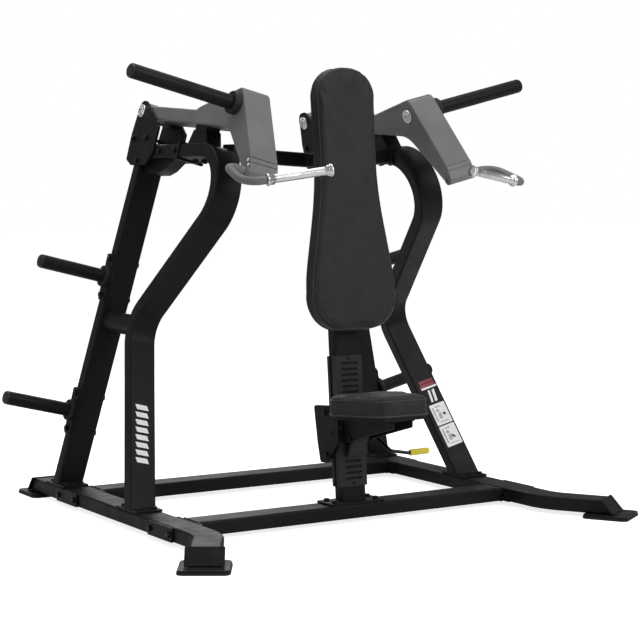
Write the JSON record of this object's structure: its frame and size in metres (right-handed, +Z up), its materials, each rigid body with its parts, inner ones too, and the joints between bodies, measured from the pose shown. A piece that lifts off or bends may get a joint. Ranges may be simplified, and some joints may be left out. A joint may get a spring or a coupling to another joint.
{
  "type": "shoulder press machine",
  "caption": "Plate-loaded shoulder press with independent swinging arms, a height-adjustable seat and plate storage horns on a splayed steel frame.",
  "frame": {"origin": "middle of the footprint, on the floor", "axes": "+X the seated user's left, -Y the front that the user faces, +Z up"},
  "size_m": [1.8926, 1.6892, 1.5728],
  "materials": {
    "frame_paint": "satin powder coat",
    "arm_paint": "satin metallic powder coat",
    "rack_paint": "dark grey satin powder coat",
    "black_oxide": "black oxide, semi-matt",
    "rubber": "matt",
    "chrome": "polished",
    "end_cap": "moulded, semi-matt",
    "upholstery": "fine-grained vinyl, semi-matt",
    "plywood": "stained plywood",
    "shaft_steel": "ground",
    "bearing_steel": "ground",
    "nylon": "moulded",
    "yellow_grip": "dipped vinyl"
  },
  "bodies": {
    "frame": {"side_base_left": "frame_paint", "side_base_right": "frame_paint", "toe_plates": "frame_paint", "foot_plates": "frame_paint", "front_crossbar": "frame_paint", "rear_crossbar": "frame_paint", "crossbar_flanges": "frame_paint", "front_upright_left": "frame_paint", "front_upright_right": "frame_paint", "rear_upright_left": "frame_paint", "rear_upright_right": "frame_paint", "base_plates": "frame_paint", "side_braces": "frame_paint", "top_beams": "frame_paint", "frame_gussets": "frame_paint", "pivot_brackets": "frame_paint", "stop_posts": "frame_paint", "upper_crossbeam": "frame_paint", "storage_flanges": "frame_paint", "storage_horns": "frame_paint", "seat_column": "frame_paint", "column_brackets": "frame_paint", "seat_rack": "rack_paint", "foot_pads": "rubber", "stop_bumpers": "rubber", "storage_collars": "rubber", "base_bolts": "black_oxide", "upper_bolts": "black_oxide", "storage_bolts": "black_oxide", "pivot_shafts": "shaft_steel", "pivot_caps": "chrome", "storage_caps": "end_cap", "back_pad": "upholstery", "back_pad_board": "plywood"},
    "left_arm": {"arm_beam_left": "arm_paint", "arm_lever_left": "arm_paint", "arm_handle_left": "arm_paint", "arm_horn_left": "frame_paint", "arm_bearings_left": "bearing_steel", "arm_horn_collar_left": "rubber", "arm_horn_cap_left": "end_cap", "arm_horn_bolt_left": "chrome", "arm_grip_left": "chrome"},
    "right_arm": {"arm_beam_right": "arm_paint", "arm_lever_right": "arm_paint", "arm_handle_right": "arm_paint", "arm_horn_right": "frame_paint", "arm_bearings_right": "bearing_steel", "arm_horn_collar_right": "rubber", "arm_horn_cap_right": "end_cap", "arm_horn_bolt_right": "chrome", "arm_grip_right": "chrome"},
    "seat_carriage": {"seat_carriage": "frame_paint", "carriage_glides": "nylon", "carriage_bolts": "black_oxide", "seat_board": "plywood", "seat_pad": "upholstery"},
    "release_lever": {"release_lever": "black_oxide", "release_pawl": "rack_paint", "release_grip": "yellow_grip"}
  },
  "joints": [
    {"name": "left_arm_pivot", "type": "hinge", "parent": "frame", "child": "left_arm", "pos_m": [-0.35034, 0.475, 1.42729], "axis": [-0.9703, 0, 0.2419], "range_deg": [0, 35]},
    {"name": "right_arm_pivot", "type": "hinge", "parent": "frame", "child": "right_arm", "pos_m": [0.35034, 0.475, 1.42729], "axis": [-0.9703, 0, -0.2419], "range_deg": [0, 35]},
    {"name": "seat_slide", "type": "slide", "parent": "frame", "child": "seat_carriage", "axis": [0, 0.0854, 0.9963], "range_m": [-0.1, 0.16]},
    {"name": "seat_release", "type": "hinge", "parent": "seat_carriage", "child": "release_lever", "pos_m": [0, -0.366, 0.298], "axis": [-1, 0, 0], "range_deg": [0, 20], "stiffness_Nm_per_rad": 5, "springref_deg": -20.05}
  ]
}
